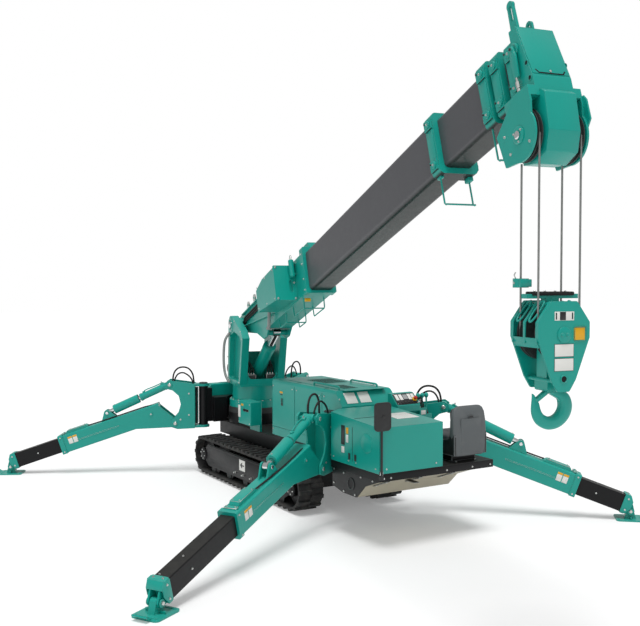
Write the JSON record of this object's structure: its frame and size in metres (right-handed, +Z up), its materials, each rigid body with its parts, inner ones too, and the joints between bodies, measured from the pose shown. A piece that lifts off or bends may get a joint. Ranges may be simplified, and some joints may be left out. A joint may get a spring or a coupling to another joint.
{
  "type": "spider crane",
  "caption": "Narrow tracked spider crane set up on folding outriggers, with a slewing column, telescopic boom, derrick cylinder, hook block, engine hood and operator's seat.",
  "frame": {"origin": "on the ground under the slewing axis", "axes": "+X towards the slewing column's end of the tracks, away from the operator; +Y to the left; +Z up"},
  "size_m": [8.1683, 6.2073, 4.393],
  "materials": {
    "teal_paint": "gloss",
    "black_paint": "semi-gloss",
    "beige_paint": "satin",
    "dark_iron": "satin",
    "track_rubber": "matte",
    "chrome_rod": "polished",
    "rope_steel": "satin",
    "seat_vinyl": "matte",
    "black_plastic": "matte"
  },
  "bodies": {
    "base": {"chassis": "black_paint", "front_beam": "teal_paint", "track_left": "track_rubber", "track_right": "track_rubber", "track_frame_left": "black_paint", "track_frame_right": "black_paint", "deck": "teal_paint", "belly_skirt": "beige_paint", "engine_hood": "teal_paint", "engine": "dark_iron", "rear_cover": "teal_paint", "side_tank": "teal_paint", "valve_box": "teal_paint", "console": "teal_paint", "seat": "seat_vinyl", "mirror": "black_plastic", "slew_ring": "dark_iron"},
    "upper": {"turntable": "teal_paint", "column": "teal_paint"},
    "winch_drum": {"winch": "dark_iron"},
    "boom": {"boom_foot": "teal_paint", "boom_1": "black_paint"},
    "section_2": {"boom_2": "black_paint"},
    "section_3": {"boom_3": "black_paint"},
    "section_4": {"boom_4": "black_paint"},
    "section_5": {"boom_5": "black_paint", "boom_head": "teal_paint"},
    "head_wheels": {"head_sheaves": "dark_iron"},
    "hang": {"rope_falls": "rope_steel", "overwind_weight": "teal_paint"},
    "block": {"hook_block": "teal_paint"},
    "block_wheels": {"block_sheaves": "dark_iron"},
    "hook": {"hook": "teal_paint"},
    "derrick_barrel": {"derrick_barrel": "teal_paint"},
    "derrick_rod": {"derrick_rod": "chrome_rod"},
    "bracket_front_left": {"bracket_front_left": "teal_paint"},
    "arm_front_left": {"arm_front_left": "teal_paint"},
    "inner_front_left": {"inner_front_left": "black_paint"},
    "foot_front_left": {"foot_front_left": "teal_paint"},
    "lift_barrel_front_left": {"lift_barrel_front_left": "teal_paint"},
    "lift_rod_front_left": {"lift_rod_front_left": "chrome_rod"},
    "bracket_front_right": {"bracket_front_right": "teal_paint"},
    "arm_front_right": {"arm_front_right": "teal_paint"},
    "inner_front_right": {"inner_front_right": "black_paint"},
    "foot_front_right": {"foot_front_right": "teal_paint"},
    "lift_barrel_front_right": {"lift_barrel_front_right": "teal_paint"},
    "lift_rod_front_right": {"lift_rod_front_right": "chrome_rod"},
    "bracket_rear_left": {"bracket_rear_left": "teal_paint"},
    "arm_rear_left": {"arm_rear_left": "teal_paint"},
    "inner_rear_left": {"inner_rear_left": "black_paint"},
    "foot_rear_left": {"foot_rear_left": "teal_paint"},
    "lift_barrel_rear_left": {"lift_barrel_rear_left": "teal_paint"},
    "lift_rod_rear_left": {"lift_rod_rear_left": "chrome_rod"},
    "bracket_rear_right": {"bracket_rear_right": "teal_paint"},
    "arm_rear_right": {"arm_rear_right": "teal_paint"},
    "inner_rear_right": {"inner_rear_right": "black_paint"},
    "foot_rear_right": {"foot_rear_right": "teal_paint"},
    "lift_barrel_rear_right": {"lift_barrel_rear_right": "teal_paint"},
    "lift_rod_rear_right": {"lift_rod_rear_right": "chrome_rod"}
  },
  "joints": [
    {"name": "slew", "type": "hinge", "parent": "base", "child": "upper", "pos_m": [0, 0, 0.872], "axis": [0, 0, 1], "continuous": true},
    {"name": "winch_turn", "type": "hinge", "parent": "upper", "child": "winch_drum", "pos_m": [0.37965, -0.06394, 1.33], "axis": [0.1661, 0.9861, 0], "continuous": true},
    {"name": "derrick", "type": "hinge", "parent": "upper", "child": "boom", "pos_m": [0.09861, -0.01661, 1.93], "axis": [0.1661, 0.9861, 0], "range_deg": [-18.5, 61.5]},
    {"name": "extend_2", "type": "slide", "parent": "boom", "child": "section_2", "axis": [-0.935, 0.1575, 0.3176], "range_m": [-0.63, 2.4]},
    {"name": "extend_3", "type": "slide", "parent": "section_2", "child": "section_3", "axis": [-0.935, 0.1575, 0.3176], "range_m": [0, 2.4]},
    {"name": "extend_4", "type": "slide", "parent": "section_3", "child": "section_4", "axis": [-0.935, 0.1575, 0.3176], "range_m": [0, 2.4]},
    {"name": "extend_5", "type": "slide", "parent": "section_4", "child": "section_5", "axis": [-0.935, 0.1575, 0.3176], "range_m": [0, 2.4]},
    {"name": "head_wheel_turn", "type": "hinge", "parent": "section_5", "child": "head_wheels", "pos_m": [-6.26062, 1.05441, 3.45747], "axis": [0.1661, 0.9861, 0], "continuous": true},
    {"name": "hang_level", "type": "hinge", "parent": "section_5", "child": "hang", "pos_m": [-6.26062, 1.05441, 3.45747], "axis": [0.1661, 0.9861, 0], "range_deg": [-62, 19]},
    {"name": "hoist", "type": "slide", "parent": "hang", "child": "block", "axis": [0, 0, 1], "range_m": [-1.45, 0.03], "deforming": ["rope_falls"]},
    {"name": "block_wheel_turn", "type": "hinge", "parent": "block", "child": "block_wheels", "pos_m": [-6.32225, 1.06479, 2.17], "axis": [-0.9861, 0.1661, 0], "continuous": true},
    {"name": "hook_swivel", "type": "hinge", "parent": "block", "child": "hook", "pos_m": [-6.32225, 1.06479, 1.8], "axis": [0, 0, 1], "continuous": true},
    {"name": "derrick_barrel_turn", "type": "hinge", "parent": "upper", "child": "derrick_barrel", "pos_m": [0.13806, -0.02325, 1.15], "axis": [0.1661, 0.9861, 0], "range_deg": [-12, 37]},
    {"name": "derrick_rod_slide", "type": "slide", "parent": "derrick_barrel", "child": "derrick_rod", "axis": [-0.8007, 0.1348, 0.5837], "range_m": [-0.16, 0.5]},
    {"name": "swing_front_left", "type": "hinge", "parent": "base", "child": "bracket_front_left", "pos_m": [0.32, 0.6, 0.875], "axis": [0, 0, 1], "range_deg": [-40, 18]},
    {"name": "lift_front_left", "type": "hinge", "parent": "bracket_front_left", "child": "arm_front_left", "pos_m": [0.48901, 0.91786, 0.65], "axis": [0.8829, -0.4695, 0], "range_deg": [-4, 25]},
    {"name": "extend_front_left", "type": "slide", "parent": "arm_front_left", "child": "inner_front_left", "axis": [0.445, 0.837, -0.3185], "range_m": [-0.52, 0.45]},
    {"name": "foot_front_left", "type": "hinge", "parent": "inner_front_left", "child": "foot_front_left", "pos_m": [1.48992, 2.80031, 0.092], "axis": [0.8829, -0.4695, 0], "range_deg": [-20, 20]},
    {"name": "lift_barrel_front_left", "type": "hinge", "parent": "bracket_front_left", "child": "lift_barrel_front_left", "pos_m": [0.52187, 0.97967, 1.155], "axis": [0.8829, -0.4695, 0], "range_deg": [-5, 25]},
    {"name": "lift_rod_front_left", "type": "slide", "parent": "lift_barrel_front_left", "child": "lift_rod_front_left", "axis": [0.4276, 0.8042, -0.4128], "range_m": [-0.224, 0.04]},
    {"name": "swing_front_right", "type": "hinge", "parent": "base", "child": "bracket_front_right", "pos_m": [0.32, -0.6, 0.875], "axis": [0, 0, 1], "range_deg": [-18, 40]},
    {"name": "lift_front_right", "type": "hinge", "parent": "bracket_front_right", "child": "arm_front_right", "pos_m": [0.48901, -0.91786, 0.65], "axis": [-0.8829, -0.4695, 0], "range_deg": [-4, 25]},
    {"name": "extend_front_right", "type": "slide", "parent": "arm_front_right", "child": "inner_front_right", "axis": [0.445, -0.837, -0.3185], "range_m": [-0.52, 0.45]},
    {"name": "foot_front_right", "type": "hinge", "parent": "inner_front_right", "child": "foot_front_right", "pos_m": [1.48992, -2.80031, 0.092], "axis": [-0.8829, -0.4695, 0], "range_deg": [-20, 20]},
    {"name": "lift_barrel_front_right", "type": "hinge", "parent": "bracket_front_right", "child": "lift_barrel_front_right", "pos_m": [0.52187, -0.97967, 1.155], "axis": [-0.8829, -0.4695, 0], "range_deg": [-5, 25]},
    {"name": "lift_rod_front_right", "type": "slide", "parent": "lift_barrel_front_right", "child": "lift_rod_front_right", "axis": [0.4276, -0.8042, -0.4128], "range_m": [-0.224, 0.04]},
    {"name": "swing_rear_left", "type": "hinge", "parent": "base", "child": "bracket_rear_left", "pos_m": [-2.735, 0.541, 0.875], "axis": [0, 0, 1], "range_deg": [-40, 2]},
    {"name": "lift_rear_left", "type": "hinge", "parent": "bracket_rear_left", "child": "arm_rear_left", "pos_m": [-2.91987, 0.8499, 0.65], "axis": [0.8581, 0.5135, 0], "range_deg": [-4, 25]},
    {"name": "extend_rear_left", "type": "slide", "parent": "arm_rear_left", "child": "inner_rear_left", "axis": [-0.4937, 0.8249, -0.2752], "range_m": [-0.87, 0.1]},
    {"name": "foot_rear_left", "type": "hinge", "parent": "inner_rear_left", "child": "foot_rear_left", "pos_m": [-4.20065, 2.98992, 0.092], "axis": [0.8581, 0.5135, 0], "range_deg": [-20, 20]},
    {"name": "lift_barrel_rear_left", "type": "hinge", "parent": "bracket_rear_left", "child": "lift_barrel_rear_left", "pos_m": [-2.95582, 0.90997, 1.155], "axis": [0.8581, 0.5135, 0], "range_deg": [-5, 25]},
    {"name": "lift_rod_rear_left", "type": "slide", "parent": "lift_barrel_rear_left", "child": "lift_rod_rear_left", "axis": [-0.4755, 0.7946, -0.3775], "range_m": [-0.224, 0.04]},
    {"name": "swing_rear_right", "type": "hinge", "parent": "base", "child": "bracket_rear_right", "pos_m": [-2.66, -0.47, 0.875], "axis": [0, 0, 1], "range_deg": [-2, 40]},
    {"name": "lift_rear_right", "type": "hinge", "parent": "bracket_rear_right", "child": "arm_rear_right", "pos_m": [-2.89571, -0.74211, 0.65], "axis": [-0.7559, 0.6547, 0], "range_deg": [-4, 25]},
    {"name": "extend_rear_right", "type": "slide", "parent": "arm_rear_right", "child": "inner_rear_right", "axis": [-0.6171, -0.7124, -0.3343], "range_m": [-0.41, 0.56]},
    {"name": "foot_rear_right", "type": "hinge", "parent": "inner_rear_right", "child": "foot_rear_right", "pos_m": [-4.21959, -2.27044, 0.092], "axis": [-0.7559, 0.6547, 0], "range_deg": [-20, 20]},
    {"name": "lift_barrel_rear_right", "type": "hinge", "parent": "bracket_rear_right", "child": "lift_barrel_rear_right", "pos_m": [-2.94154, -0.79502, 1.155], "axis": [-0.7559, 0.6547, 0], "range_deg": [-5, 25]},
    {"name": "lift_rod_rear_right", "type": "slide", "parent": "lift_barrel_rear_right", "child": "lift_rod_rear_right", "axis": [-0.5925, -0.684, -0.4255], "range_m": [-0.224, 0.04]}
  ],
  "couplings": [
    {"joint": "extend_4", "follows": "extend_3", "ratio": 1},
    {"joint": "extend_5", "follows": "extend_3", "ratio": 1},
    {"joint": "hang_level", "follows": "derrick", "ratio": -1},
    {"joint": "derrick_barrel_turn", "follows": "derrick", "ratio": 0.587},
    {"joint": "derrick_rod_slide", "follows": "derrick", "m_per_rad": 0.46},
    {"joint": "lift_barrel_front_left", "follows": "lift_front_left", "ratio": 0.931},
    {"joint": "lift_rod_front_left", "follows": "lift_front_left", "m_per_rad": -0.501},
    {"joint": "lift_barrel_front_right", "follows": "lift_front_right", "ratio": 0.931},
    {"joint": "lift_rod_front_right", "follows": "lift_front_right", "m_per_rad": -0.501},
    {"joint": "lift_barrel_rear_left", "follows": "lift_rear_left", "ratio": 0.958},
    {"joint": "lift_rod_rear_left", "follows": "lift_rear_left", "m_per_rad": -0.503},
    {"joint": "lift_barrel_rear_right", "follows": "lift_rear_right", "ratio": 0.922},
    {"joint": "lift_rod_rear_right", "follows": "lift_rear_right", "m_per_rad": -0.501}
  ]
}
